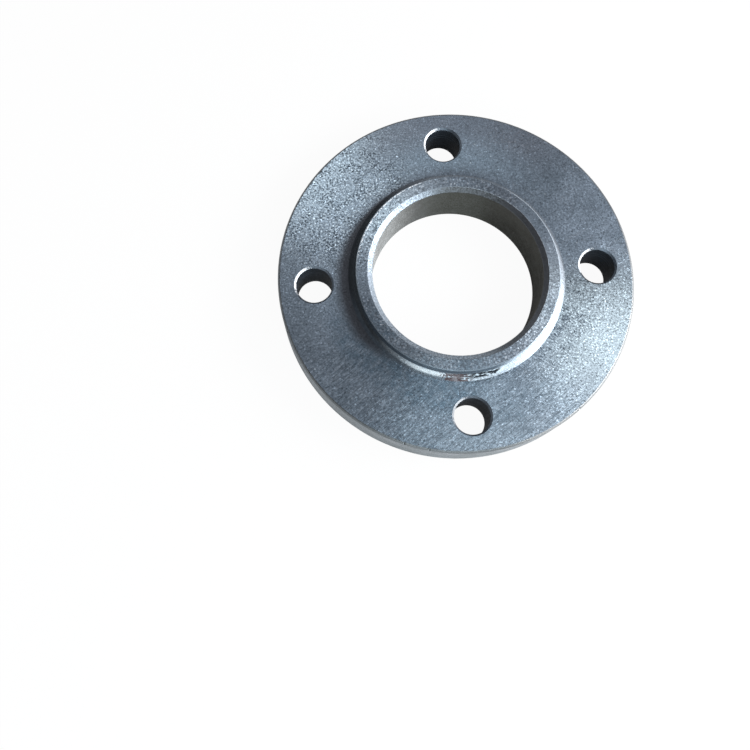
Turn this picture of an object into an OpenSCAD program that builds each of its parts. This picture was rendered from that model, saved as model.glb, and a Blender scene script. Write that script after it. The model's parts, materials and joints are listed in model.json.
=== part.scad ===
// Slip-on pipe flange, forged and turned from one piece of steel.
// It lies on its raised sealing face with the hub up. The origin is the centre of that face,
// and +Z runs along the bore to the hub. All sizes are in millimetres.

/* [Plate] */
// Outside diameter of the plate
plate_d = 190.5; // [180:0.5:220]
// Thickness of the plate, without the raised face
plate_t = 22.3; // [16:0.1:30]
// Edge break on both corners of the rim
rim_break = 0.9; // [0.3:0.1:2]

/* [Hub] */
// Diameter of the hub's side at its top
hub_d = 108; // [102:0.5:118]
// Height of the hub above the plate
hub_h = 6.6; // [5:0.1:14]
// Draft of the hub's side, in degrees
hub_draft = 3; // [0:0.5:8]
// Radius of the fillet at the foot of the hub
foot_r = 3.8; // [1:0.1:4]
// Edge break round the top of the hub
hub_break = 0.4; // [0.3:0.1:1.2]

/* [Bore] */
// Diameter of the straight bore that the pipe slips into
bore_d = 90.7; // [76:0.1:96]
// Radial width of the bevel at the bore's hub end
mouth_w = 2.6; // [1:0.1:4]
// Height of the bevel at the bore's hub end
mouth_h = 1.6; // [0.5:0.1:4]
// Edge break where the bore meets the sealing face
seat_break = 0.8; // [0.3:0.1:2]

/* [Bolt holes] */
// Number of bolt holes
bolt_count = 4; // [3:1:8]
// Diameter of the circle through the centres of the bolt holes
bolt_circle_d = 152.4; // [149:0.2:166]
// Diameter of a bolt hole
bolt_hole_d = 19.05; // [12:0.05:21]
// Edge break on both ends of a bolt hole
bolt_hole_break = 1; // [0.3:0.05:1.5]

/* [Sealing face] */
// Diameter of the raised face
face_d = 127; // [112:0.5:130]
// Height of the raised face
face_h = 1.6; // [1:0.1:4]
// Edge break round the raised face
face_break = 0.3; // [0.1:0.1:0.8]
// Number of gasket grooves
groove_count = 3; // [1:1:5]
// Width of a gasket groove at the face
groove_w = 1.4; // [0.6:0.1:2]
// Depth of a gasket groove
groove_depth = 0.6; // [0.2:0.1:0.9]

/* [Hidden] */
$fn = 120;

plate_r = plate_d / 2;
hub_r = hub_d / 2;
bore_r = bore_d / 2;
face_r = face_d / 2;
bolt_hole_r = bolt_hole_d / 2;

// Levels along the bore: the plate's two faces and the top of the hub
plate_bottom = face_h;
plate_top = plate_bottom + plate_t;
hub_top = plate_top + hub_h;

// Where the hub's drafted side would meet the plate without its fillet
hub_foot = hub_r + hub_h * tan(hub_draft);
// Centre of the foot fillet, which touches the hub's side and the plate
fillet_centre = [hub_foot + foot_r * (1 - sin(hub_draft)) / cos(hub_draft), plate_top + foot_r];
// Where the fillet leaves the hub's side
fillet_top = fillet_centre - foot_r * [cos(hub_draft), sin(hub_draft)];

// Distance between neighbouring gasket grooves
groove_pitch = (face_r - bore_r) / (groove_count + 1);
// How far a cut runs past the face that it opens
past = 1;

// Half section of the plate and its raised face, between the axis and the rim
module plate_section() {
    polygon([
        [bore_r + seat_break, 0],
        [face_r - face_break, 0],
        [face_r, face_break],
        [face_r, plate_bottom],
        [plate_r - rim_break, plate_bottom],
        [plate_r, plate_bottom + rim_break],
        [plate_r, plate_top - rim_break],
        [plate_r - rim_break, plate_top],
        [bore_r, plate_top],
        [bore_r, seat_break]
    ]);
}

// Half section of the hub, with its drafted side, its edge break and the bevel at the bore's mouth
module hub_section() {
    break_r = hub_r + hub_break * tan(hub_draft);
    polygon([
        [bore_r, plate_bottom],
        [hub_foot, plate_bottom],
        [hub_foot, plate_top],
        [break_r, hub_top - hub_break],
        [hub_r - hub_break, hub_top],
        [bore_r + mouth_w, hub_top],
        [bore_r, hub_top - mouth_h]
    ]);
}

// Half section of the fillet at the hub's foot: a kite up to the fillet's centre, less the circle
module fillet_section() {
    difference() {
        polygon([
            [hub_foot, plate_top],
            [fillet_centre.x, plate_top],
            fillet_centre,
            fillet_top
        ]);
        translate(fillet_centre)
            circle(r = foot_r);
    }
}

// Sections of the gasket grooves, each a shallow vee in the raised face
module groove_sections() {
    for (i = [1 : groove_count])
        translate([bore_r + i * groove_pitch, 0])
            polygon([
                [-groove_w / 2, 0],
                [0, groove_depth],
                [groove_w / 2, 0],
                [groove_w / 2, -past],
                [-groove_w / 2, -past]
            ]);
}

// The turned body, before it is drilled
module turned_body() {
    rotate_extrude()
        difference() {
            union() {
                plate_section();
                hub_section();
                fillet_section();
            }
            groove_sections();
        }
}

// One bolt hole on the axis, with its edges broken at both faces of the plate
module bolt_hole() {
    wide_r = bolt_hole_r + bolt_hole_break + past;
    cone_h = bolt_hole_break + past;
    translate([0, 0, plate_bottom - past])
        cylinder(r = bolt_hole_r, h = plate_t + 2 * past);
    translate([0, 0, plate_bottom - past])
        cylinder(r1 = wide_r, r2 = bolt_hole_r, h = cone_h);
    translate([0, 0, plate_top - bolt_hole_break])
        cylinder(r1 = bolt_hole_r, r2 = wide_r, h = cone_h);
}

// Bolt holes at equal angles, the first one on +X
module bolt_holes() {
    for (i = [0 : bolt_count - 1])
        rotate(i * 360 / bolt_count)
            translate([bolt_circle_d / 2, 0, 0])
                bolt_hole();
}

module flange() {
    color("slategray")
        difference() {
            turned_body();
            bolt_holes();
        }
}

flange();
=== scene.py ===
# %% [markdown]
# # A slip-on pipe flange in bare steel
# The real part is one steel forging, turned on both sides, drilled, blasted and oiled. It lies on its
# raised sealing face with the hub up. The imported model has its true sizes, so this lesson builds the same
# section with softened corners, and spends its effort on the finishes: grainy faces, turned walls, bright
# cut edges and dark drilled holes, with painted highlights and painted shade laid over some of them.

# %% Load the imported model
import json
import math

import bmesh
import bpy
from mathutils import Matrix, Quaternion, Vector


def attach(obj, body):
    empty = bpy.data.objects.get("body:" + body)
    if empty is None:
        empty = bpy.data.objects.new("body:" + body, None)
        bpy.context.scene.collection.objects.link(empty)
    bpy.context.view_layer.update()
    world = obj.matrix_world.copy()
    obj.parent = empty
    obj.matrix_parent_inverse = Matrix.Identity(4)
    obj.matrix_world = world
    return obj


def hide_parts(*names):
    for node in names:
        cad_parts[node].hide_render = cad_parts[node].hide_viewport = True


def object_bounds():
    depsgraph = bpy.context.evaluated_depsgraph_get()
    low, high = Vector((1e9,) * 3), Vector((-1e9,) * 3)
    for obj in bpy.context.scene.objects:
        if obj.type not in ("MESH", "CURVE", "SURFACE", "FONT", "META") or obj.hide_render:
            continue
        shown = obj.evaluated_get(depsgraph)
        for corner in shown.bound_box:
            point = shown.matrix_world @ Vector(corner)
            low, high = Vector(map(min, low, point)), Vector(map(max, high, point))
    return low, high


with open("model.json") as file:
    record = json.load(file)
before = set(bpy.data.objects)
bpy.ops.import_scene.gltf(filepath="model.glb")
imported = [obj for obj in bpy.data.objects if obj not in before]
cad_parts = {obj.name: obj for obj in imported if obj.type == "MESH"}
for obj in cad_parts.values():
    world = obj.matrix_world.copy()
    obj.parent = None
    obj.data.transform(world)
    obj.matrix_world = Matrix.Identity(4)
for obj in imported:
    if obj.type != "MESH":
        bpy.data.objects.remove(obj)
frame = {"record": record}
cad_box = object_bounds()
print("CAD box in metres", [tuple(round(x, 4) for x in corner) for corner in cad_box])

# %% [markdown]
# ## Sizes
# A flange has to mate with a pipe, a gasket and bolts, so its sizes are not for the artist to choose. They
# could be typed again here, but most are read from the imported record, and so can't drift from it. Small
# sizes that the record doesn't hold, such as edge breaks, are named here once.

# %% Sizes of the flange, in metres
MM, CM = 0.001, 0.01
mounts = {mount["name"]: mount for mount in frame["record"]["mounts"]}
plate_r = frame["record"]["size"]["bbox_m"][0] / 2
hub_top = cad_box[1].z
plate_top = mounts["nut_face"]["pos_m"][2]
bore_r = mounts["pipe_bore"]["dims"]["r_mm"] * MM
bolts = mounts["bolt_circle"]["dims"]
bolt_circle_r = bolts["pcd_mm"] * MM / 2
bolt_count = bolts["count"]
bolt_hole_r = bolts["hole_r_mm"] * MM

plate_bottom = 1.6 * MM
rim_break = 0.9 * MM
hub_r = 54.0 * MM
hub_draft = math.radians(3)
hub_foot_fillet = 3.8 * MM
hub_break = 0.4 * MM
mouth_w = 2.6 * MM
mouth_h = 1.6 * MM
seat_break = 0.8 * MM
face_r = 63.5 * MM
face_break = 0.3 * MM
groove_count = 3
groove_w = 1.4 * MM
groove_depth = 0.6 * MM
bolt_hole_break = 1.0 * MM
print("plate radius", plate_r, "bore radius", bore_r, "plate top", plate_top, "hub top", hub_top)

# %% [markdown]
# ## The half section
# A turned part is its half section swept once round an axis. On real steel no corner is perfectly sharp,
# and the tiny round on each corner catches the light. A Bevel modifier could round them all alike, but a
# lathe hand breaks one corner more than another. So the section is a list of corners, each with its own
# radius, which is large at the hub's foot, and with the finish of each stretch.

# %% The section's corners, from the sealing face round to the bore
FINISHES = ["blasted_face", "hub_side", "worn_edge", "bore_mouth", "bore_wall", "rim_side",
            "sealing_face", "hole_wall"]
FACE, SIDE, EDGE, MOUTH, BORE, RIM, SEAL, HOLE = range(len(FINISHES))

hub_foot_r = hub_r + (hub_top - plate_top) * math.tan(hub_draft)
hub_break_r = hub_r + hub_break * math.tan(hub_draft)
groove_pitch = (face_r - bore_r) / (groove_count + 1)
fine, soft, worn = 0.12 * MM, 0.35 * MM, 0.7 * MM

# Each corner: radius from the axis, height, rounding, finish of the arc, finish of the side after it
corners = [(bore_r + seat_break, 0, fine, EDGE, SEAL)]
for i in range(1, groove_count + 1):
    middle = bore_r + i * groove_pitch
    corners += [
        (middle - groove_w / 2, 0, fine, SEAL, SEAL),
        (middle, groove_depth, fine, SEAL, SEAL),
        (middle + groove_w / 2, 0, fine, SEAL, SEAL),
    ]
corners += [
    (face_r - face_break, 0, fine, EDGE, EDGE),
    (face_r, face_break, fine, EDGE, SEAL),
    (face_r, plate_bottom, soft, SEAL, FACE),
    (plate_r - rim_break, plate_bottom, worn, EDGE, EDGE),
    (plate_r, plate_bottom + rim_break, worn, EDGE, RIM),
    (plate_r, plate_top - rim_break, worn, EDGE, EDGE),
    (plate_r - rim_break, plate_top, worn, EDGE, FACE),
    (hub_foot_r, plate_top, hub_foot_fillet, SIDE, SIDE),
    (hub_break_r, hub_top - hub_break, fine, EDGE, EDGE),
    (hub_r - hub_break, hub_top, fine, EDGE, FACE),
    (bore_r + mouth_w, hub_top, soft, EDGE, MOUTH),
    (bore_r, hub_top - mouth_h, soft, MOUTH, BORE),
    (bore_r, seat_break, fine, EDGE, EDGE),
]
print(len(corners), "corners in the half section")

# %% [markdown]
# ## Corners into arcs
# An arc that touches both sides of a corner turns through the angle between them. Each straight side gets
# a support point near both ends. Without them smooth shading would bend the flat faces towards their
# corners, and the steel would look like soap.

# %% An arc for a corner, and points for a side
ARC_STEP = math.radians(9)
SUPPORT = 0.35 * MM


def corner_arc(before, here, after, radius):
    """Points of the arc of this radius that touches both sides of a corner."""
    to_before = (before - here).normalized()
    to_after = (after - here).normalized()
    half = to_before.angle(to_after) / 2
    start = here + to_before * (radius / math.tan(half))
    centre = here + (to_before + to_after).normalized() * (radius / math.sin(half))
    turn = math.pi - 2 * half
    if (here - before).cross(after - here) < 0:
        turn = -turn
    steps = max(2, math.ceil(abs(turn) / ARC_STEP))
    spoke = start - centre
    return [centre + Matrix.Rotation(turn * k / steps, 2) @ spoke for k in range(steps + 1)]


def straight_side(start, end):
    """Points of a straight side, with a support point near each end of a long one."""
    along = end - start
    if along.length < 4 * SUPPORT:
        return [start, end]
    step = along.normalized() * SUPPORT
    return [start, start + step, end - step, end]


right_angle = corner_arc(Vector((0, 1)), Vector((0, 0)), Vector((1, 0)), soft)
print("a square corner becomes", len(right_angle), "points")


# %% The whole section as strips
def section_strips(corners):
    """Strips of (finish, points) that follow the closed section, one for each arc and each side."""
    places = [Vector((x, y)) for x, y, *_ in corners]
    arcs = []
    for i, (_, _, rounding, _, _) in enumerate(corners):
        after = places[(i + 1) % len(places)]
        arcs.append(corner_arc(places[i - 1], places[i], after, rounding))
    strips = []
    for (_, _, _, arc_finish, side_finish), arc, next_arc in zip(corners, arcs, arcs[1:] + arcs[:1]):
        strips.append((arc_finish, arc))
        strips.append((side_finish, straight_side(arc[-1], next_arc[0])))
    return strips


strips = section_strips(corners)
print(len(strips), "strips,", sum(len(points) for _, points in strips), "points")

# %% [markdown]
# ## Helpers for node trees
# The finishes and the shape are both node trees, and in a script each node takes several lines: make it,
# set it up, link it. These helpers fold that into one call, so that a later line reads like the sum that
# it stands for. A socket knows its tree, so only a node with nothing linked to it has to be told.


# %% Add nodes to any tree
def feed(node, inputs):
    """Fills a node's inputs. A socket is linked, and any other value is set."""
    for key, value in inputs.items():
        if isinstance(value, bpy.types.NodeSocket):
            node.id_data.links.new(value, node.inputs[key])
        else:
            node.inputs[key].default_value = value


def put(kind, inputs, tree=None, **settings):
    """Adds a node to a tree, or else to the tree that its linked inputs are in."""
    sockets = [value for value in inputs.values() if isinstance(value, bpy.types.NodeSocket)]
    made = (tree or sockets[0].id_data).nodes.new(kind)
    for name, value in settings.items():
        setattr(made, name, value)
    feed(made, inputs)
    return made


def tell(tree):
    """Prints how many nodes a tree has."""
    print(tree.name, "has", len(tree.nodes), "nodes")


# %% Sums and vectors
def maths(operation, first, second=0.0, clamp=False):
    """One Math node's result."""
    made = put("ShaderNodeMath", {0: first, 1: second}, operation=operation, use_clamp=clamp)
    return made.outputs[0]


def times(first, *others):
    """The product of one or more values."""
    for other in others:
        first = maths("MULTIPLY", first, other)
    return first


def vector_maths(operation, *vectors):
    """One Vector Math node's vector result."""
    return put("ShaderNodeVectorMath", dict(enumerate(vectors)), operation=operation).outputs["Vector"]


def scaled(vector, scale):
    """A vector or a colour, times a value."""
    return put("ShaderNodeVectorMath", {0: vector, "Scale": scale}, operation="SCALE").outputs["Vector"]


def vector_of(x=0.0, y=0.0, z=0.0):
    """A vector from its three parts."""
    return put("ShaderNodeCombineXYZ", {"X": x, "Y": y, "Z": z}).outputs[0]


def parts_of(vector):
    """The three parts of a vector."""
    return put("ShaderNodeSeparateXYZ", {0: vector}).outputs


def blend(amount, first, second):
    """Two colours, mixed by an amount."""
    return put("ShaderNodeMix", {0: amount, 6: first, 7: second}, data_type="RGBA").outputs[2]


# %% [markdown]
# ## Helpers for masks
# A mark on steel is a colour and a mask that says where it lies. Nearly all masks here come from four
# moves: stretch a value to a new range, keep what lies between two limits, ask a cloud of chance values,
# or ask how far the nearest scattered dot is. Patterns read Object coordinates in millimetres, so
# nothing slides when the camera moves.


# %% Masks from a value
def spread(value, low, high, to_low=0.0, to_high=1.0):
    """A value between low and high, mapped and clamped to a new range."""
    inputs = {"Value": value, "From Min": low, "From Max": high, "To Min": to_low, "To Max": to_high}
    return put("ShaderNodeMapRange", inputs, clamp=True).outputs["Result"]


def between(value, low, high, soft, soft_high=None):
    """1 between low and high, falling smoothly to 0 over a soft margin at each end."""
    soft_high = soft if soft_high is None else soft_high
    ends = []
    for outside, inside in [(low - soft, low), (high + soft_high, high)]:
        inputs = {"Value": value, "From Min": outside, "From Max": inside}
        made = put("ShaderNodeMapRange", inputs, interpolation_type="SMOOTHSTEP")
        ends.append(made.outputs["Result"])
    return times(*ends)


# %% Masks from a pattern
def millimetres(tree):
    """The point on the flange in millimetres, from Object coordinates."""
    point = put("ShaderNodeTexCoord", {}, tree).outputs["Object"]
    return scaled(point, 1 / MM)


def noise(place, scale, detail=2.0, rough=0.5):
    """A cloud of smooth chance values, mostly near a half."""
    inputs = {"Vector": place, "Scale": scale, "Detail": detail, "Roughness": rough}
    return put("ShaderNodeTexNoise", inputs).outputs[0]


def noise_along(value, scale, detail):
    """Chance values that change along one measure only, as the marks of a tool do."""
    inputs = {"W": value, "Scale": scale, "Detail": detail}
    return put("ShaderNodeTexNoise", inputs, noise_dimensions="1D").outputs[0]


def dots(place, scale):
    """Distance to the nearest of many scattered dots."""
    return put("ShaderNodeTexVoronoi", {"Vector": place, "Scale": scale}).outputs["Distance"]


def stretched(place, turn, length, width, shift=0.0):
    """Coordinates in which a pattern comes out long and narrow, at a turn in degrees."""
    inputs = {"Vector": place, "Location": (shift, shift, 0), "Rotation": (0, 0, math.radians(turn)),
              "Scale": (length, width, width)}
    return put("ShaderNodeMapping", inputs, vector_type="TEXTURE").outputs[0]


# %% [markdown]
# ## Shared effects as node groups
# All the surfaces are the same steel, so they share a few effects: where a point lies, blasted grain, lathe
# lines, scuffs and stains. Each could be copied into every material, but then a change has to be made
# eight times. So each is a node group, built once and placed in each material with its own values. A
# group gives out only masks, values and directions.


# %% Make a group and use it
def shader_group(name, *inputs):
    """A new shader node group, and the sockets of its input values."""
    tree = bpy.data.node_groups.new(name, "ShaderNodeTree")
    for label in inputs:
        tree.interface.new_socket(label, in_out="INPUT", socket_type="NodeSocketFloat")
    return tree, tree.nodes.new("NodeGroupInput").outputs


def give(tree, outputs):
    """Ends a group with its outputs, each a value or a vector."""
    end = tree.nodes.new("NodeGroupOutput")
    for label, socket in outputs.items():
        kind = "NodeSocketVector" if socket.type == "VECTOR" else "NodeSocketFloat"
        tree.interface.new_socket(label, in_out="OUTPUT", socket_type=kind)
        tree.links.new(socket, end.inputs[label])
    tell(tree)


def use(tree, group, inputs=None):
    """Places a group in a tree, with its inputs linked or set, and gives its outputs."""
    return put("ShaderNodeGroup", inputs or {}, tree, node_tree=group).outputs


# %% [markdown]
# ### Where a point lies
# Marks on a turned part follow its axis. An image could be painted round it, but turned measures are
# simpler: the angle round the axis, the radius and the height. The angle jumps where it starts, so a
# second one starts at the front, for marks that lie across the first one's jump.


# %% Turned measures
def turn_of(place, start=0.0):
    """The angle of a place round the axis, from 0 to 360 degrees, counted from a start."""
    parts = parts_of(place)
    turn = maths("DEGREES", maths("ARCTAN2", parts["Y"], parts["X"]))
    return maths("WRAP", maths("SUBTRACT", turn, start), 360.0)


def flat(place):
    """A place without its height."""
    return vector_maths("MULTIPLY", place, (1, 1, 0))


def distance_out(place):
    """How far a place is from the axis."""
    return put("ShaderNodeVectorMath", {0: flat(place)}, operation="LENGTH").outputs["Value"]


def way_round(place):
    """The direction that runs round the axis at a place."""
    return vector_maths("NORMALIZE", vector_maths("CROSS_PRODUCT", (0, 0, 1), flat(place)))


# %% Place on the flange
place_on_flange, _ = shader_group("Place on the flange")
point = millimetres(place_on_flange)
give(place_on_flange, {
    "Angle": turn_of(point),
    "From front": turn_of(point, start=-90.0),
    "Radius": distance_out(point),
    "Height": parts_of(point)["Z"],
    "Round": way_round(point),
})

# %% [markdown]
# ### Where a point lies on its bolt hole
# The holes are alike, so a mark at a hole's edge is described once. Rounding the angle to the spacing of
# the holes finds the nearest one, and the rest is measured from its centre. Four separate materials
# would have to be kept alike by hand.

# %% Place on a bolt hole
place_on_hole, _ = shader_group("Place on a bolt hole")
tree = place_on_hole
step = 360.0 / bolt_count
angle = use(tree, place_on_flange)["Angle"]
nearest = times(maths("ROUND", maths("DIVIDE", angle, step)), step)
nearest = maths("RADIANS", nearest)
spoke = vector_of(maths("COSINE", nearest), maths("SINE", nearest))
centre = scaled(spoke, bolt_circle_r / MM)
local = vector_maths("SUBTRACT", millimetres(tree), centre)
give(tree, {"Turn": turn_of(local), "Distance": distance_out(local)})

# %% [markdown]
# ### Blasted grain
# Shot blasting leaves thousands of tiny dents, each leaning its own way. Real dents would need millions of
# faces, and a bump map gives softer grain that looks like plaster. Instead the shading normal leans by
# chance, mostly across the lathe's marks. Multiplying a lean by its own size keeps most leans small and
# lets a few flash.

# %% Grain group
blasted_grain, given = shader_group("Blasted grain", "Crystal size", "Lean across", "Lean along")
tree = blasted_grain
per_mm = maths("DIVIDE", 1.0, given["Crystal size"])
crystals = scaled(millimetres(tree), per_mm)
facet = put("ShaderNodeTexNoise", {"Vector": crystals, "Scale": 1.0, "Detail": 1.0}).outputs["Color"]
chance = put("ShaderNodeSeparateColor", {0: facet}).outputs
around = use(tree, place_on_flange)["Round"]
facing = put("ShaderNodeNewGeometry", {}, tree).outputs["Normal"]
across = vector_maths("CROSS_PRODUCT", around, facing)
leaning = facing
for way, value, amount in [(across, chance[0], "Lean across"), (around, chance[1], "Lean along")]:
    lean = maths("SUBTRACT", value, 0.5)
    lean = times(lean, maths("ABSOLUTE", lean), given[amount])
    leaning = vector_maths("ADD", leaning, scaled(way, lean))
tone = spread(noise(crystals, 0.9, 2.0, 0.65), 0.30, 0.70)
give(tree, {"Normal": vector_maths("NORMALIZE", leaning), "Tone": tone})

# %% [markdown]
# ### Lathe lines
# A lathe's tool leaves fine grooves: rings on a face, rings again on a wall. Chance values along radius
# plus height give both at once, because on a face only the radius changes and on a wall only the height.

# %% Lathe line group
lathe_lines, given = shader_group("Lathe lines", "Lines per mm")
place = use(lathe_lines, place_on_flange)
across = maths("ADD", place["Radius"], place["Height"])
give(lathe_lines, {
    "Height": noise_along(across, given["Lines per mm"], 1.5),
    "Broad": noise_along(across, 0.35, 2.0),
})

# %% [markdown]
# ### Scuffs
# Flanges are stacked and dragged, and each drag leaves a hairline. Dots that are stretched far in one
# direction become hairlines, three directions make them look careless, and a broad cloud breaks them
# into patches.

# %% Scuff group
scuffs, given = shader_group("Scuffs", "Amount")
tree = scuffs
point = millimetres(tree)
patch = spread(noise(point, 0.05), 0.48, 0.62)
total = 0.0
for turn, length, width, shift in [(28, 16.0, 0.32, 1.7), (64, 11.0, 0.26, 5.2), (141, 22.0, 0.3, 9.1)]:
    hairs = dots(stretched(point, turn, length, width, shift), 0.5)
    line = times(spread(hairs, 0.26, 0.10), patch)
    total = maths("MAXIMUM", line, total)
give(tree, {"Mask": maths("MULTIPLY", total, given["Amount"], clamp=True)})

# %% [markdown]
# ### Stains
# Oil and handling leave broad, soft patches that are a little darker. One cloud with some fine detail is
# enough, with the size of the patches as an input.

# %% Stain group
stains, given = shader_group("Stains", "Patch size")
per_mm = maths("DIVIDE", 1.0, given["Patch size"])
cloud = noise(millimetres(stains), per_mm, 4.0, 0.6)
give(stains, {"Mask": spread(cloud, 0.35, 0.68)})

# %% [markdown]
# ## A finish and its layers
# Each finish starts as pale and dark steel mixed by stains, flecked by the grain and lined by the lathe.
# Then layers go over it, some as marks do on the real part and some as painted highlight or painted shade,
# each a few masks with a colour and perhaps its own roughness. Gloss spreads across the lathe's marks. The
# shader's anisotropy does this, with its tangent laid along them, and gives the plate two opposite bright
# sectors, which painted highlight on the blasted face makes brighter still.

# %% The class for a finish
ROUGH_RANGE = 0.03
LINE_ROUGHNESS = 0.05
QUARTER_TURN = 0.25


class Finish:
    """A steel material in the making: its tree, its place and grain, and its colour and gloss so far."""

    def __init__(self, name, pale, dark, rough, crystal, lean, contrast, lines, line_depth,
                 patch=14.0, metal=1.0):
        self.material = bpy.data.materials.new(name)
        self.material.use_nodes = True
        self.tree = tree = self.material.node_tree
        self.grain = use(tree, blasted_grain,
                         {"Crystal size": crystal, "Lean across": lean[0], "Lean along": lean[1]})
        lathe = use(tree, lathe_lines, {"Lines per mm": lines})
        place = use(tree, place_on_flange)
        self.angle, self.from_front = place["Angle"], place["From front"]
        self.radius, self.height = place["Radius"], place["Height"]
        self.point = millimetres(tree)
        stain = use(tree, stains, {"Patch size": patch})["Mask"]
        self.normal = put("ShaderNodeBump",
                          {"Height": lathe["Height"], "Normal": self.grain["Normal"],
                           "Strength": 1.0, "Distance": line_depth * MM}).outputs[0]
        fleck = spread(self.grain["Tone"], 0, 1, 1 - contrast, 1 + contrast)
        steel = blend(stain, (*pale, 1), (*dark, 1))
        self.colour = scaled(steel, fleck)
        stained = spread(stain, 0, 1, rough - ROUGH_RANGE, rough + ROUGH_RANGE)
        self.rough = maths("ADD", stained, times(lathe["Broad"], LINE_ROUGHNESS))
        self.metal = metal
        self.layers = 0

    def sector(self, *limits):
        """A mask by the angle round the axis."""
        return between(self.angle, *limits)

    def front_sector(self, *limits):
        """A mask by the angle from the front."""
        return between(self.from_front, *limits)

    def ring(self, *limits):
        """A mask by the radius."""
        return between(self.radius, *limits)

    def layer(self, masks, colour, rough=None, metal=None):
        """Lays a colour over the steel where all the masks are, with its own roughness and metalness."""
        mask = times(*masks)
        self.colour = blend(mask, self.colour, (*colour, 1))
        if rough is not None:
            self.rough = spread(mask, 0, 1, self.rough, rough)
        if metal is not None:
            self.metal = spread(mask, 0, 1, self.metal, metal)
        self.layers += 1

    def done(self, anisotropic, specular=0.5):
        """Feeds the shader, with the tangent along the lathe's marks, round the axis."""
        feed(self.tree.nodes["Principled BSDF"], {
            "Base Color": self.colour, "Roughness": self.rough, "Metallic": self.metal,
            "Normal": self.normal, "Specular IOR Level": specular, "Anisotropic": anisotropic,
            "Anisotropic Rotation": QUARTER_TURN, "Tangent": way_round(self.point),
        })
        print(self.material.name, "has", self.layers, "layers and", len(self.tree.nodes), "nodes")


# %% [markdown]
# ## Blasted face
# The plate and the top of the hub were turned and then blasted to a dull blue-grey with a bright grain.
# Most of the picture is this finish, so it gets the most layers. First comes painted highlight in the two
# sectors where the lamp gleams, with bright flecks painted there and the dents of the blasting as dark
# flecks between them.

# %% The face's steel, and painted highlight in its two bright sectors
face = Finish("blasted_face", pale=(0.39, 0.49, 0.585), dark=(0.30, 0.38, 0.455), rough=0.43, crystal=0.95,
              lean=(7.2, 2.2), contrast=0.22, lines=3.0, line_depth=0.01)
upside = spread(face.height, 10.0, 12.0)
on_hub = spread(face.radius, 57.0, 55.0)
on_plate = times(spread(face.radius, 55.0, 57.0), upside)

# Painted highlight: the sector at the right, where the lamp gleams, is painted lighter.
highlight_right = times(face.front_sector(52, 78, 32, 22), upside)
face.layer([highlight_right, 0.8], (0.405, 0.485, 0.525))
# Painted highlight: the opposite sector at the upper left is painted lighter, most towards the rim.
outward = maths("MAXIMUM", spread(face.radius, 76.0, 90.0, 0.15, 1.0), on_hub)
face.layer([face.sector(118, 143, 25), upside, outward, 0.7], (0.60, 0.75, 0.86))
fleck = noise(face.point, 1.0)
clusters = spread(noise(face.point, 0.16, 3.0), 0.40, 0.58, 0.4, 1.0)
inward = spread(face.radius, 80.0, 66.0, 0.35, 1.0)
# Bright flecks are painted only in the sectors that gleam, with dark flecks between them.
highlight_left = times(face.sector(122, 162, 25, 20), upside)
dents = maths("MAXIMUM", times(highlight_left, 0.95), times(highlight_right, inward))
face.layer([dents, clusters, spread(fleck, 0.47, 0.60)], (0.06, 0.08, 0.10))
face.layer([highlight_left, spread(fleck, 0.44, 0.34, 0.0, 0.6)], (0.80, 0.94, 1.0))
print("bright sectors and dents:", face.layers, "layers")

# %% [markdown]
# Next come the small accidents that keep a face from looking computed: hairline scratches, a few white
# specks where bare metal shows, and dark pits. They are rare, so scattered dots suit them better
# than a cloud, which would spread them evenly.

# %% Scratches, specks and pits
face.layer([use(face.tree, scuffs, {"Amount": 0.5})["Mask"]], (0.60, 0.68, 0.76))
specks = dots(face.point, 0.16)
face.layer([spread(specks, 0.075, 0.05)], (0.76, 0.87, 0.95), rough=0.5)
pits = dots(face.point, 0.23)
face.layer([spread(pits, 0.09, 0.06, 0.0, 0.45)], (0.08, 0.09, 0.105))
scuffed = spread(noise(face.point, 0.8, 3.0), 0.50, 0.66, 0.0, 0.55)
face.layer([face.sector(57, 68, 6), face.ring(83.0, 92.0, 5.0), upside, scuffed], (0.52, 0.57, 0.62))
print("with small marks:", face.layers, "layers")

# %% [markdown]
# A blasted face is never even. It is darker towards the hub, three stretches get painted shade and one
# at the front painted light, and the front has a blue cast in blots and fine streaks from a brush. A
# painted image would blur close up, so these are masks by angle and radius, and a stretched cloud gives
# the streaks.

# %% Darker towards the hub, painted shade and light, and brushed streaks
# Darker towards the hub.
face.layer([spread(face.radius, 70.0, 58.0, 0.0, 0.18)], (0.16, 0.19, 0.22))
# Painted shade over three stretches of the plate and the hub's top.
outer_and_hub = maths("MAXIMUM", spread(face.radius, 70.0, 86.0, 0.0, 0.5), times(on_hub, 0.3))
for first, last, margin, strength, colour in [
    (60, 105, 25, 1.0, (0.22, 0.23, 0.275)),
    (172, 200, 15, 1.0, (0.19, 0.235, 0.28)),
    (309, 318, 9, 0.6, (0.20, 0.23, 0.27)),
]:
    face.layer([face.sector(first, last, margin), outer_and_hub, upside, strength], colour)
# Painted light on the outer plate at the front.
outer = spread(face.radius, 78.0, 88.0, 0.0, 0.3)
face.layer([face.sector(264, 290, 12), outer, upside], (0.55, 0.64, 0.72))

front = times(face.sector(215, 302, 18), on_plate)
brushed = noise(stretched(face.point, 35, 4.0, 0.55, 3.0), 1.0)
face.layer([front, spread(brushed, 0.47, 0.60, 0.0, 0.45)], (0.11, 0.15, 0.19))
face.layer([front, spread(brushed, 0.44, 0.33, 0.0, 0.4)], (0.62, 0.73, 0.83))
blots = spread(noise(face.point, 0.28, 3.0), 0.35, 0.65, 0.15, 0.75)
face.layer([face.sector(205, 262, 20), face.ring(48.0, 70.0, 8.0), upside, blots], (0.19, 0.28, 0.36))
print("with soil and shade:", face.layers, "layers")
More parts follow.
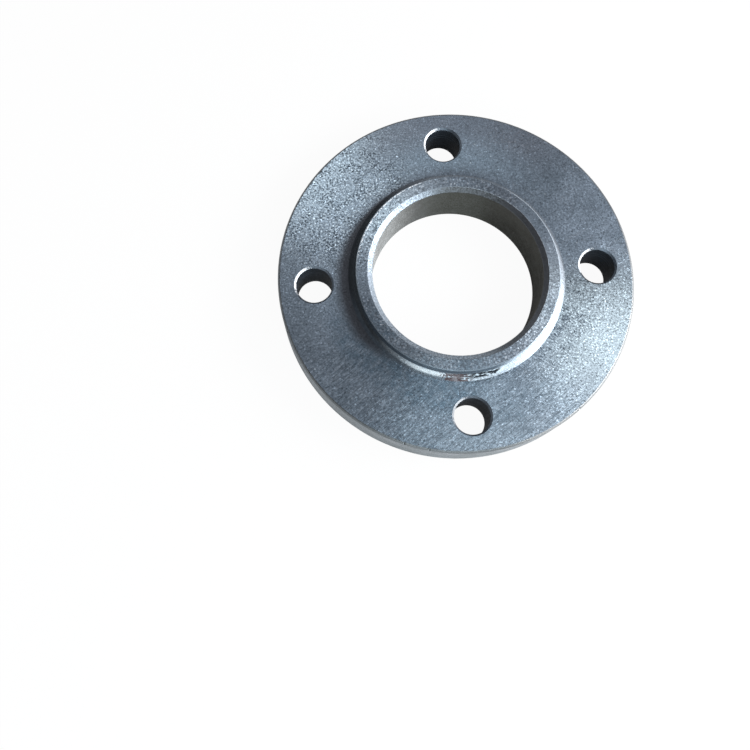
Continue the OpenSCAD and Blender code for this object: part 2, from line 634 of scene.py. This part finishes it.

# %% [markdown]
# At the left the hub casts a painted shadow: a dark wedge over the corner at its foot, widest at one
# angle. A single ring couldn't show that, so its reach is itself a mask of the angle. Towards the right the
# corner gets painted shade, with dark streaks across it.

# %% Painted shadow, painted shade and dark streaks at the hub's foot
# Painted shade in the corner at the right.
corner = spread(face.radius, 76.0, 60.0)
face.layer([face.sector(298, 320, 14), corner, on_plate, 0.4], (0.15, 0.18, 0.215))
streaks = noise(stretched(face.point, -45, 3.0, 0.8), 1.0)
streaks = times(spread(streaks, 0.47, 0.59, 0.0, 0.85), clusters)
corner = spread(face.radius, 80.0, 62.0)
face.layer([face.front_sector(42, 80, 18), corner, on_plate, streaks], (0.07, 0.09, 0.115))
# Painted shadow of the hub, a wedge on the plate at the left.
reach = spread(face.sector(182, 205, 60, 30), 0.0, 1.0, 58.6, 66.5)
full = spread(reach, 58.6, 66.5, 58.0, 61.0)
painted_shadow = spread(face.radius, reach, full, 0.0, 0.9)
face.layer([face.sector(100, 208, 9, 28), painted_shadow, on_plate], (0.12, 0.13, 0.145))
print("with oil:", face.layers, "layers")

# %% [markdown]
# The hub's top is the part that hands and hooks touch. It gets painted shade at the right and painted
# light in three stretches, is speckled in two, and has painted highlights of small nicks along its outer
# edge at the left. A few drops of dark oil lie at the hub's foot in front.

# %% Marks on the hub's top and at its foot
# Painted shade on the hub's top at the right.
face.layer([face.sector(300, 338, 18), on_hub, 0.5], (0.20, 0.24, 0.29))
# Painted light on the hub's top in three stretches.
for first, last in [(75, 100), (190, 206), (318, 348)]:
    face.layer([face.front_sector(first, last, 12), on_hub, 0.3], (0.55, 0.64, 0.72))
for first, last in [(52, 104), (198, 318)]:
    speckled = times(face.sector(first, last, 14), on_hub)
    face.layer([speckled, spread(fleck, 0.46, 0.62, 0.0, 0.55)], (0.11, 0.12, 0.14))
    face.layer([speckled, spread(fleck, 0.40, 0.32, 0.0, 0.6)], (0.75, 0.80, 0.86))
# Painted highlights along the hub's outer edge at the left, glints of small nicks.
chips = spread(noise(face.point, 0.9), 0.45, 0.55)
painted_edge_glints = [face.sector(112, 163, 10), face.ring(53.15, 53.8, 0.12), chips]
face.layer(painted_edge_glints, (0.95, 0.97, 1.0), rough=0.6, metal=0.0)
drops = spread(noise(face.point, 1.6), 0.52, 0.62)
face.layer([face.sector(269, 290, 6), face.ring(57.3, 58.6, 0.7), drops], (0.04, 0.045, 0.05))
face.done(anisotropic=0.85)

# %% [markdown]
# ## Hub side and its fillet
# The side and the fillet were turned but not blasted, so they are brighter and smoother than the faces.
# Painted shade covers the left, the front left is darker, lighter painted shade covers the far side, and
# at the right a painted highlight gleams almost white. The painted gleam doesn't stop at one angle: it
# thins out along the fillet, so the height where it starts rises with the angle.

# %% Painted shade, darker stretches and a painted gleam that thins out
side = Finish("hub_side", pale=(0.70, 0.80, 0.88), dark=(0.60, 0.69, 0.77), rough=0.50, crystal=0.8,
              lean=(3.0, 2.0), contrast=0.25, lines=4.0, line_depth=0.02)
# Painted shade over the side and fillet at the left.
side.layer([side.sector(112, 208, 18, 40), 0.96], (0.05, 0.06, 0.07))
# Lighter painted shade over the far side.
later_below = maths("ADD", side.from_front, spread(side.height, 25.0, 28.0, 0.0, 14.0))
side.layer([between(later_below, 84, 200, 22), 0.8], (0.25, 0.29, 0.33))
# Darker on the upper and lower side at the front left.
upper = spread(side.height, 25.6, 26.4)
side.layer([upper, side.sector(205, 283, 25, 18), 0.92], (0.085, 0.11, 0.14))
lower = spread(side.height, 24.6, 24.2)
side.layer([lower, side.sector(200, 257, 20, 5), 0.85], (0.15, 0.19, 0.23))
# Painted highlight: a gleam at the right that thins out along the fillet.
starts = spread(side.from_front, 83, 130, 23.86, 24.2)
full = maths("ADD", starts, 0.08)
painted_gleam = [side.front_sector(76, 128, 10, 14), spread(side.height, starts, full, 0.0, 0.45),
         spread(side.height, 25.4, 24.9)]
side.layer(painted_gleam, (0.80, 0.88, 0.95))
# Painted shade on the upper side where the gleam is.
painted_shade_on_top = [side.front_sector(72, 98, 14), spread(side.height, 25.4, 26.6, 0.0, 0.6)]
side.layer(painted_shade_on_top, (0.12, 0.14, 0.16))
print("hub side:", side.layers, "layers")

# %% [markdown]
# At the front a tool has chattered: a smear of torn, dark metal, and a patch where rust has started.
# Beside the smear a painted highlight whitens a stretch like scraped metal. A cloud that is stretched along
# the hub gives torn streaks, and a little chance added to the angle makes the rust's border ragged.

# %% Torn metal, a painted highlight and rust at the front
along = vector_of(times(side.angle, 0.28), times(side.height, 1.3))
smear = noise(along, 1.0, 4.0, 0.65)
torn = [spread(smear, 0.42, 0.50), side.sector(266, 285, 4), between(side.height, 24.3, 25.9, 0.4)]
side.layer(torn, (0.03, 0.036, 0.043))
cloud = noise(side.point, 1.1, 3.0)
# Painted highlight beside the smear, whitened like scraped metal.
painted_scrape_highlight = [side.sector(243, 254, 14, 5), between(side.height, 24.5, 25.6, 0.5),
           spread(cloud, 0.3, 0.6, 0.35, 0.9)]
side.layer(painted_scrape_highlight, (0.90, 0.97, 1.0), rough=0.6, metal=0.35)
ragged = maths("ADD", side.angle, spread(cloud, 0.25, 0.75, -8.0, 8.0))
rust = times(between(ragged, 259, 265, 5), between(side.height, 23.9, 25.6, 1.0))
side.layer([rust, 0.85], (0.20, 0.17, 0.18), rough=0.7, metal=0.5)
streaks = spread(smear, 0.42, 0.56, 0.0, 0.85)
side.layer([rust, streaks], (0.065, 0.042, 0.045), rough=0.8, metal=0.3)
side.done(anisotropic=0.8)

# %% [markdown]
# ## Worn edges
# Every broken corner shows freshly cut metal, but the rim is dulled by the floor, with painted light at its
# front right, and the hub's edge is darker at the front and at the back. One finish serves all edges,
# because the radius tells which edge a point is on. At the bolt holes a bright crescent on one side is a
# painted highlight.

# %% Edges of the hub and the rim
edge = Finish("worn_edge", pale=(0.60, 0.69, 0.77), dark=(0.44, 0.51, 0.58), rough=0.36, crystal=0.8,
              lean=(1.5, 1.0), contrast=0.30, lines=6.0, line_depth=0.01, patch=3.0)
# The hub's edge is darker at the front and at the back.
by_hub = spread(edge.radius, 62.0, 58.0)
edge.layer([edge.sector(190, 290, 25), by_hub, 0.9], (0.17, 0.21, 0.25), rough=0.45)
edge.layer([edge.sector(60, 106, 15), by_hub, 0.85], (0.24, 0.28, 0.32), rough=0.5)
on_rim = spread(edge.radius, 90.0, 92.0, 0.0, 0.92)
edge.layer([on_rim], (0.155, 0.165, 0.17), rough=0.45)
# Painted light on the rim's edge at the front right.
edge.layer([edge.front_sector(22, 95, 15), on_rim], (0.36, 0.37, 0.375), rough=0.45)
print("edges of hub and rim:", edge.layers, "layers")

# %% Edges of the bolt holes, and painted highlights at the holes and on the hub
hole = use(edge.tree, place_on_hole)
by_hole = spread(hole["Distance"], 12.5, 12.0)
edge.layer([by_hole, 0.9], (0.10, 0.12, 0.15), rough=0.5)
# Painted highlight: a bright crescent on one side of each bolt hole's edge.
crescent_turn = maths("ADD", hole["Turn"], spread(edge.grain["Tone"], 0.0, 1.0, -14.0, 14.0))
weaker_in_front = spread(edge.sector(262, 298, 8), 0, 1, 1.0, 0.5)
painted_crescent = [between(crescent_turn, 116, 184, 22), by_hole, weaker_in_front]
edge.layer(painted_crescent, (0.92, 0.95, 0.98), rough=0.6, metal=0.25)
# Painted highlight, a thin glint along the hub's far side.
painted_hub_glint = [edge.front_sector(92, 138, 12), edge.ring(52.0, 58.0, 1.0), 0.6]
edge.layer(painted_hub_glint, (0.85, 0.93, 1.0), rough=0.55)
# Painted highlight, a thin glint at the edge of the bore's mouth.
painted_mouth_glint = [edge.ring(47.0, 48.6, 0.2), edge.front_sector(60, 160, 20),
              spread(edge.grain["Tone"], 0.3, 0.7)]
edge.layer(painted_mouth_glint, (0.80, 0.90, 1.0), rough=0.55)
edge.done(anisotropic=0.5)

# %% [markdown]
# ## Bevel at the bore's mouth
# The bevel takes the weld when the flange is fitted. It gets painted shade at the right and the far side, a
# painted highlight at the left, and dark chips where the painted shade ends. Three soft masks by angle are
# all it needs over the shared steel.

# %% Bevel finish
mouth = Finish("bore_mouth", pale=(0.42, 0.49, 0.56), dark=(0.33, 0.39, 0.45), rough=0.44, crystal=0.8,
               lean=(5.0, 2.0), contrast=0.45, lines=6.0, line_depth=0.01)
# Painted shade at the right and the far side.
mouth.layer([mouth.front_sector(30, 176, 28), 0.95], (0.14, 0.15, 0.165))
# Painted highlight at the left.
mouth.layer([mouth.sector(174, 204, 12), 0.35], (0.62, 0.72, 0.80))
chips = spread(mouth.grain["Tone"], 0.35, 0.7, 0.0, 0.75)
mouth.layer([mouth.front_sector(148, 184, 12), chips], (0.065, 0.07, 0.07))
mouth.done(anisotropic=0.6)

# %% [markdown]
# ## Bore wall
# The bore is a straight cut with its feed marks showing. One side gets painted shade with an olive cast and
# a fine, dull speckle, the left gets painted light, and the right is lighter towards the top. The speckle
# reuses the grain's own tone, so no new pattern is needed.

# %% Bore finish
bore = Finish("bore_wall", pale=(0.25, 0.26, 0.26), dark=(0.19, 0.195, 0.19), rough=0.55, crystal=0.8,
              lean=(1.5, 1.0), contrast=0.35, lines=4.0, line_depth=0.03, patch=5.0)
speckle = spread(bore.grain["Tone"], 0.2, 0.8, 0.62, 1.0)
# Painted shade with an olive cast on the right and the far side.
bore.layer([bore.front_sector(30, 180, 45), speckle], (0.072, 0.070, 0.059))
bore.layer([bore.sector(128, 148, 10), 0.3], (0.14, 0.145, 0.145))
# Painted light on the wall at the left.
bore.layer([bore.sector(164, 206, 10), 0.5], (0.40, 0.41, 0.41))
# Lighter towards the top at the right.
lighter_near_top = [bore.front_sector(102, 138, 16), spread(bore.height, 12.0, 22.0, 0.0, 0.5), speckle]
bore.layer(lighter_near_top, (0.16, 0.16, 0.145))
bore.done(anisotropic=0.95)

# %% [markdown]
# ## Rim
# The rim is the widest turned wall, and from the side it is the first thing seen. It is dull from lying on
# floors, with the rings of the lathe still on it. Light and dark rings come from chance values along the
# height alone, so they run true round the part.

# %% Rim finish
rim = Finish("rim_side", pale=(0.26, 0.28, 0.30), dark=(0.19, 0.21, 0.22), rough=0.40, crystal=0.5,
             lean=(0.5, 0.5), contrast=0.2, lines=3.0, line_depth=0.03)
rings = noise_along(rim.height, 1.6, 3.0)
rim.layer([spread(rings, 0.52, 0.70, 0.0, 0.6)], (0.31, 0.33, 0.35))
rim.layer([spread(rings, 0.48, 0.32, 0.0, 0.6)], (0.15, 0.16, 0.17))
rim.done(anisotropic=0.7)

# %% [markdown]
# ## Sealing face
# The raised face underneath presses on the gasket, so it was turned last, with a fine feed, and never
# blasted. The shared steel with deeper lathe lines is nearly right, and only needs a few hairlines.

# %% Sealing face finish
seal = Finish("sealing_face", pale=(0.30, 0.34, 0.39), dark=(0.22, 0.25, 0.29), rough=0.34, crystal=0.5,
              lean=(0.5, 0.5), contrast=0.2, lines=2.5, line_depth=0.06)
seal.layer([use(seal.tree, scuffs, {"Amount": 0.35})["Mask"]], (0.42, 0.46, 0.50))
seal.done(anisotropic=0.8)

# %% [markdown]
# ## Bolt hole walls
# The drill leaves its holes nearly black, with a skin of scale and oil. As bare metal the walls would
# mirror the floor at a low angle and turn pale, so this one finish is not metallic. Dim rings show where
# the drill fed.

# %% Hole finish
drilled = Finish("hole_wall", pale=(0.012, 0.018, 0.026), dark=(0.006, 0.010, 0.015), rough=0.45,
                 crystal=0.4, lean=(0.5, 0.5), contrast=0.2, lines=2.0, line_depth=0.04, metal=0.0)
feed_marks = noise_along(drilled.height, 0.9, 2.0)
drilled.layer([spread(feed_marks, 0.50, 0.64, 0.0, 0.8)], (0.045, 0.057, 0.073))
drilled.done(anisotropic=0.3, specular=0.08)

# %% All finishes, in the order of their numbers
materials = [bpy.data.materials[name] for name in FINISHES]
print(len(materials), "finishes")

# %% [markdown]
# ## Shape with Geometry Nodes
# The shape follows a rule, so a node tree makes it: it sweeps the section round the axis as the lathe
# does, and cuts each bolt hole as the drill does. Spin and Boolean modifiers could do the same by hand,
# but a tree keeps every size as a named input. Every face remembers its finish in an attribute, which
# the last nodes turn into materials.

# %% The tree and its named inputs
shaping = bpy.data.node_groups.new("Sweep and drill", "GeometryNodeTree")
lengths = {
    "Bore radius": bore_r, "Bolt circle": bolt_circle_r, "Hole radius": bolt_hole_r,
    "Edge break": bolt_hole_break, "Plate bottom": plate_bottom, "Plate top": plate_top,
    "Rim radius": plate_r, "Knock size": 1.3 * MM,
}
counts = {"Holes": bolt_count, "Steps round": 288, "Hole steps": 96, "Knocks": 9, "Seed": 4}
for names, kind in [(["Section"], "Geometry"), (lengths, "Float"), (counts, "Int")]:
    for name in names:
        shaping.interface.new_socket(name, in_out="INPUT", socket_type="NodeSocket" + kind)
shaping.interface.new_socket("Flange", in_out="OUTPUT", socket_type="NodeSocketGeometry")
given = shaping.nodes.new("NodeGroupInput").outputs
print(len(lengths), "lengths and", len(counts), "counts go in")

# %% [markdown]
# ### Sweep
# Curve to Mesh carries a profile along a path. The path is a circle on the bore's wall, so the section's
# first measure is taken from that wall. The strips meet only at their ends, and merging those points
# closes the skin.


# %% Sweep the strips round the bore
def shape(kind, inputs, **settings):
    """Adds a node to the tree and gives its first output."""
    return put(kind, inputs, shaping, **settings).outputs[0]


def marked(geometry, finish):
    """The geometry, with the number of its finish on every face."""
    inputs = {"Geometry": geometry, "Name": "finish", "Value": finish}
    return shape("GeometryNodeStoreNamedAttribute", inputs, data_type="INT", domain="FACE")


SAME_POINT = 0.001 * MM
profile = shape("GeometryNodeMeshToCurve", {"Mesh": given["Section"]})
path = shape("GeometryNodeCurvePrimitiveCircle",
             {"Resolution": given["Steps round"], "Radius": given["Bore radius"]})
swept = shape("GeometryNodeCurveToMesh", {"Curve": path, "Profile Curve": profile})
skin = marked(swept, shape("GeometryNodeInputNamedAttribute", {"Name": "strip_finish"}, data_type="INT"))
body = shape("GeometryNodeMergeByDistance", {"Geometry": skin, "Distance": SAME_POINT})
tell(shaping)

# %% [markdown]
# ### One cutter, and one for each hole
# A bolt hole is a straight bore with its edge broken at both faces. The cutter is that shape as a solid:
# a cylinder and two cones, joined. It reaches past each face, because a cut that ends exactly on a face
# can leave a skin. Instance on Points puts one at each point of the bolt circle.


# %% The cutter
def placed(geometry, z):
    """The geometry, lifted to a height."""
    place = vector_of(z=z)
    return shape("GeometryNodeTransform", {"Geometry": geometry, "Translation": place})


def cone(low, high):
    """A cone of the cutter, from its lower radius to its upper one."""
    return shape("GeometryNodeMeshCone", {"Vertices": given["Hole steps"], "Radius Bottom": low,
                                          "Radius Top": high, "Depth": cone_h})


PAST = 1.0 * MM
top, bottom, hole_r = given["Plate top"], given["Plate bottom"], given["Hole radius"]
cone_h = maths("ADD", given["Edge break"], PAST)
wide = maths("ADD", hole_r, cone_h)
depth = maths("ADD", maths("SUBTRACT", top, bottom), 2 * PAST)
drill = shape("GeometryNodeMeshCylinder",
              {"Vertices": given["Hole steps"], "Radius": hole_r, "Depth": depth})
middle = maths("DIVIDE", maths("ADD", top, bottom), 2.0)
cutter = put("GeometryNodeMeshBoolean", {}, shaping, operation="UNION", solver="EXACT")
for piece in [
    marked(placed(drill, middle), HOLE),
    marked(placed(cone(hole_r, wide), maths("SUBTRACT", top, given["Edge break"])), EDGE),
    marked(placed(cone(wide, hole_r), maths("SUBTRACT", bottom, PAST)), EDGE),
]:
    shaping.links.new(piece, cutter.inputs["Mesh 2"])
tell(shaping)


# %% Cutters on the bolt circle
def on_points(points, instance, **more):
    """An instance on each point, made real."""
    copies = shape("GeometryNodeInstanceOnPoints", {"Points": points, "Instance": instance, **more})
    return shape("GeometryNodeRealizeInstances", {"Geometry": copies})


circle = shape("GeometryNodeMeshCircle", {"Vertices": given["Holes"], "Radius": given["Bolt circle"]})
cutters = on_points(circle, cutter.outputs["Mesh"])
tell(shaping)

# %% [markdown]
# ### Knocks on the rim
# A heavy part gets knocked, and its upper rim shows it. Each knock is a small round dent at a chance angle,
# cut with a ball. They could be painted, but a real dent also breaks the outline. The seed is fixed,
# so the same flange comes out each time.


# %% Balls that cut the knocks
def chance_value(low, high):
    """A chance value for each knock."""
    inputs = {2: low, 3: high, "Seed": given["Seed"]}
    return put("FunctionNodeRandomValue", inputs, data_type="FLOAT").outputs[1]


angle = chance_value(0.0, math.tau)
knock_at = vector_of(times(maths("COSINE", angle), given["Rim radius"]),
                     times(maths("SINE", angle), given["Rim radius"]), top)
spots = shape("GeometryNodePoints", {"Count": given["Knocks"], "Position": knock_at})
ball = shape("GeometryNodeMeshIcoSphere", {"Radius": given["Knock size"], "Subdivisions": 3})
knocks = on_points(spots, marked(ball, EDGE), Scale=chance_value(0.55, 1.0))
tell(shaping)

# %% [markdown]
# ### Cut, and dress each face
# One Boolean cuts the holes and the knocks together. A cutter's faces pass their finish to the faces that
# they cut, so hole walls and broken edges already have the right number. The tree ends by making
# everything real and setting each number's material.

# %% The cut and the materials
cut = put("GeometryNodeMeshBoolean", {"Mesh 1": body, "Mesh 2": cutters},
          operation="DIFFERENCE", solver="EXACT")
shaping.links.new(knocks, cut.inputs["Mesh 2"])
result = shape("GeometryNodeRealizeInstances", {"Geometry": cut.outputs["Mesh"]})
finish = shape("GeometryNodeInputNamedAttribute", {"Name": "finish"}, data_type="INT")
for number, material in enumerate(materials):
    same = shape("FunctionNodeCompare", {2: finish, 3: number}, data_type="INT", operation="EQUAL")
    dressed = {"Geometry": result, "Selection": same, "Material": material}
    result = shape("GeometryNodeSetMaterial", dressed)
shaping.links.new(result, shaping.nodes.new("NodeGroupOutput").inputs[0])
tell(shaping)

# %% [markdown]
# ## Run the tree
# The section goes in as loose edges, with each strip's finish on its points. The modifier's inputs are set
# by their identifiers before anything is evaluated. Then the result is kept as a plain mesh and
# the modifier goes, because an export can't carry a tree.


# %% The section as a mesh
def section_mesh(strips):
    """The strips as loose edges, x from the bore's wall, y downwards, with their finish on each point."""
    points, edges, finishes = [], [], []
    for finish, strip in strips:
        first = len(points)
        points += [(p.x - bore_r, -p.y, 0) for p in strip]
        edges += [(first + k, first + k + 1) for k in range(len(strip) - 1)]
        finishes += [finish] * len(strip)
    mesh = bpy.data.meshes.new("section")
    mesh.from_pydata(points, edges, [])
    mesh.attributes.new("strip_finish", "INT", "POINT").data.foreach_set("value", finishes)
    return mesh


def add_object(name, data):
    """A new object in the scene."""
    made = bpy.data.objects.new(name, data)
    bpy.context.scene.collection.objects.link(made)
    return made


flange = add_object("turned_flange", section_mesh(strips))
print("section:", len(flange.data.vertices), "points,", len(flange.data.edges), "edges")

# %% Section in, flange out
sweep = flange.modifiers.new("Sweep and drill", "NODES")
sweep.node_group = shaping
identifiers = {s.name: s.identifier for s in shaping.interface.items_tree if s.in_out == "INPUT"}
for name, value in {**lengths, **counts}.items():
    sweep[identifiers[name]] = value
made = bpy.data.meshes.new_from_object(flange.evaluated_get(bpy.context.evaluated_depsgraph_get()))
flange.modifiers.remove(sweep)
flange.data = made
for slot in reversed(range(len(made.materials))):
    if made.materials[slot] is None:
        made.materials.pop(index=slot)
areas = {m.name: 0.0 for m in made.materials}
for polygon in made.polygons:
    areas[made.materials[polygon.material_index].name] += polygon.area
print("area of each finish in cm2", {name: round(area / CM ** 2, 1) for name, area in areas.items()})

# %% [markdown]
# ## Clean the mesh and hand it over
# A cut can leave faces that point inwards, so the normals are worked out again. Smooth shading with sharp
# edges keeps the arcs round and the corners crisp. The piece then rides on the only body and takes the
# place of the plain solid.

# %% Normals, shading and what the piece stands for
SHARP_ANGLE = math.radians(30)
work = bmesh.new()
work.from_mesh(made)
bmesh.ops.recalc_face_normals(work, faces=work.faces)
open_edges = sum(not e.is_manifold for e in work.edges)
volume = work.calc_volume() / CM ** 3
work.to_mesh(made)
work.free()
made.polygons.foreach_set("use_smooth", [True] * len(made.polygons))
made.set_sharp_from_angle(angle=SHARP_ANGLE)
triangles = sum(len(p.vertices) - 2 for p in made.polygons)
print("flange:", triangles, "triangles,", open_edges, "open edges,", round(volume, 1), "cm3")

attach(flange, "root")
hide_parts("flange")

# %% [markdown]
# ## Floor
# The flange lies on plain white paper, which has to look white to the camera and in the metal's reflections
# without throwing more light on the part. So its glow is switched by the kind of ray: strong for the
# camera, weaker for reflections, and none for the rest. A small share of plain shading keeps the
# soft shadow.

# %% White paper
FLOOR_R = 3.0
FLOOR_SIDES = 64
FLOOR_DROP = 0.2 * MM
turns = [math.tau * k / FLOOR_SIDES for k in range(FLOOR_SIDES)]
floor_mesh = bpy.data.meshes.new("floor")
border = [(FLOOR_R * math.cos(a), FLOOR_R * math.sin(a), -FLOOR_DROP) for a in turns]
floor_mesh.from_pydata(border, [], [range(FLOOR_SIDES)])
floor = add_object("floor", floor_mesh)
print("floor of", 2 * FLOOR_R, "m")

# %% Its material
SEEN_GLOW, MIRRORED_GLOW = 0.95, 0.3
paper = bpy.data.materials.new("white_paper")
paper.use_nodes = True
tree = paper.node_tree
lit = tree.nodes["Principled BSDF"]
feed(lit, {"Base Color": (0.93, 0.93, 0.93, 1), "Roughness": 0.9})
glow = put("ShaderNodeEmission", {"Color": (1, 1, 1, 1), "Strength": 1.0}, tree)
ray = put("ShaderNodeLightPath", {}, tree).outputs
seen = maths("MAXIMUM", ray["Is Camera Ray"], ray["Is Transmission Ray"])
mirrored = times(ray["Is Glossy Ray"], MIRRORED_GLOW)
share = maths("MAXIMUM", times(seen, SEEN_GLOW), mirrored)
mix = put("ShaderNodeMixShader", {0: share, 1: lit.outputs[0], 2: glow.outputs[0]})
tree.links.new(mix.outputs[0], tree.nodes["Material Output"].inputs["Surface"])
floor.data.materials.append(paper)
print(paper.name, "has", len(tree.nodes), "nodes")

# %% [markdown]
# ## Surround
# Metal shows what stands round it. This world is dim overhead, which lets the plate go dark between its
# bright sectors, brighter on the lamp's side, and white at the horizon. A photograph of a room would give
# richer reflections, but a few soft lobes stay plain.

# %% World
LAMP_AZIMUTH, LAMP_ELEVATION = -11, 36
DIM_ABOVE, WHITE_BELOW = math.radians(22), math.radians(14)


def direction(azimuth, elevation):
    """Unit vector from a compass direction and a height angle, both in degrees."""
    turn, lift = math.radians(azimuth), math.radians(elevation)
    return Vector((math.cos(turn) * math.cos(lift), math.sin(turn) * math.cos(lift), math.sin(lift)))


def lobe(looking, towards, sharpness):
    """A soft patch of light round a direction."""
    made = put("ShaderNodeVectorMath", {0: looking, 1: towards}, operation="DOT_PRODUCT")
    return maths("POWER", maths("MAXIMUM", made.outputs["Value"], 0.0), sharpness)


world = bpy.data.worlds.new("surround")
world.use_nodes = True
bpy.context.scene.world = world
tree = world.node_tree
looking = put("ShaderNodeTexCoord", {}, tree).outputs["Generated"]
by_lamp = lobe(looking, direction(LAMP_AZIMUTH, LAMP_ELEVATION), 2.0)
lamp_side = spread(by_lamp, 0.0, 1.0, 0.07, 0.82)
overhead = maths("ADD", lamp_side, times(lobe(looking, direction(20, 20), 10.0), 1.3))
sky = vector_of(times(overhead, 1.03), overhead, times(overhead, 1.05))
height = parts_of(looking)["Z"]
horizon = spread(height, math.sin(DIM_ABOVE), math.sin(WHITE_BELOW))
colour = blend(horizon, sky, (0.95, 0.95, 0.95, 1))
tree.links.new(colour, tree.nodes["Background"].inputs["Color"])
print(world.name, "has", len(tree.nodes), "nodes")

# %% [markdown]
# ## Lamps
# One large soft lamp stands low at the right, where its light rakes over the plate and brings out the
# grain. A second, weaker one lights the front. Both are broad, because a small lamp would make hard
# sparks in the grain and a hard shadow.


# %% Two soft lamps
def soft_lamp(name, azimuth, elevation, distance, width, height, power, colour, roll=0):
    """A soft lamp that faces the flange from a compass direction and a height angle."""
    lamp = bpy.data.lights.new(name, "AREA")
    lamp.shape = "RECTANGLE"
    lamp.size = width
    lamp.size_y = height
    lamp.energy = power
    lamp.color = colour
    holder = add_object(name, lamp)
    away = direction(azimuth, elevation)
    holder.location = away * distance
    aim = away.to_track_quat("Z", "Y") @ Quaternion((0, 0, 1), math.radians(roll))
    holder.rotation_euler = aim.to_euler()
    print(name, "lamp at", [round(x, 2) for x in holder.location], "with", power, "W")


soft_lamp("window", LAMP_AZIMUTH, LAMP_ELEVATION, distance=0.9, width=0.6, height=0.4, power=7.5,
          colour=(0.97, 0.99, 1.0), roll=-27)
soft_lamp("front", -84, 42, distance=1.0, width=1.0, height=0.4, power=5.0, colour=(0.86, 0.98, 1.02))

# %% [markdown]
# ## Camera
# The camera stands nearly overhead, a little to the front and left, and sees the flange in the upper right
# of the picture. Its place was found by fitting the circles of the rim, the hub, the bore and the bolt
# holes. Standard view shows each colour as it was written.

# %% Camera at the photograph's place
camera_data = bpy.data.cameras.new("camera")
camera_data.lens = 39.0
camera_data.sensor_width = 36.0
camera_data.clip_start = 0.01
camera = add_object("camera", camera_data)
camera.location = (-0.0689, -0.1427, 0.4323)
camera.rotation_euler = [math.radians(a) for a in (12.83, -1.85, -4.71)]
bpy.context.scene.camera = camera
bpy.context.scene.view_settings.view_transform = "Standard"
print("camera", round(camera.location.length, 3), "m from the part")
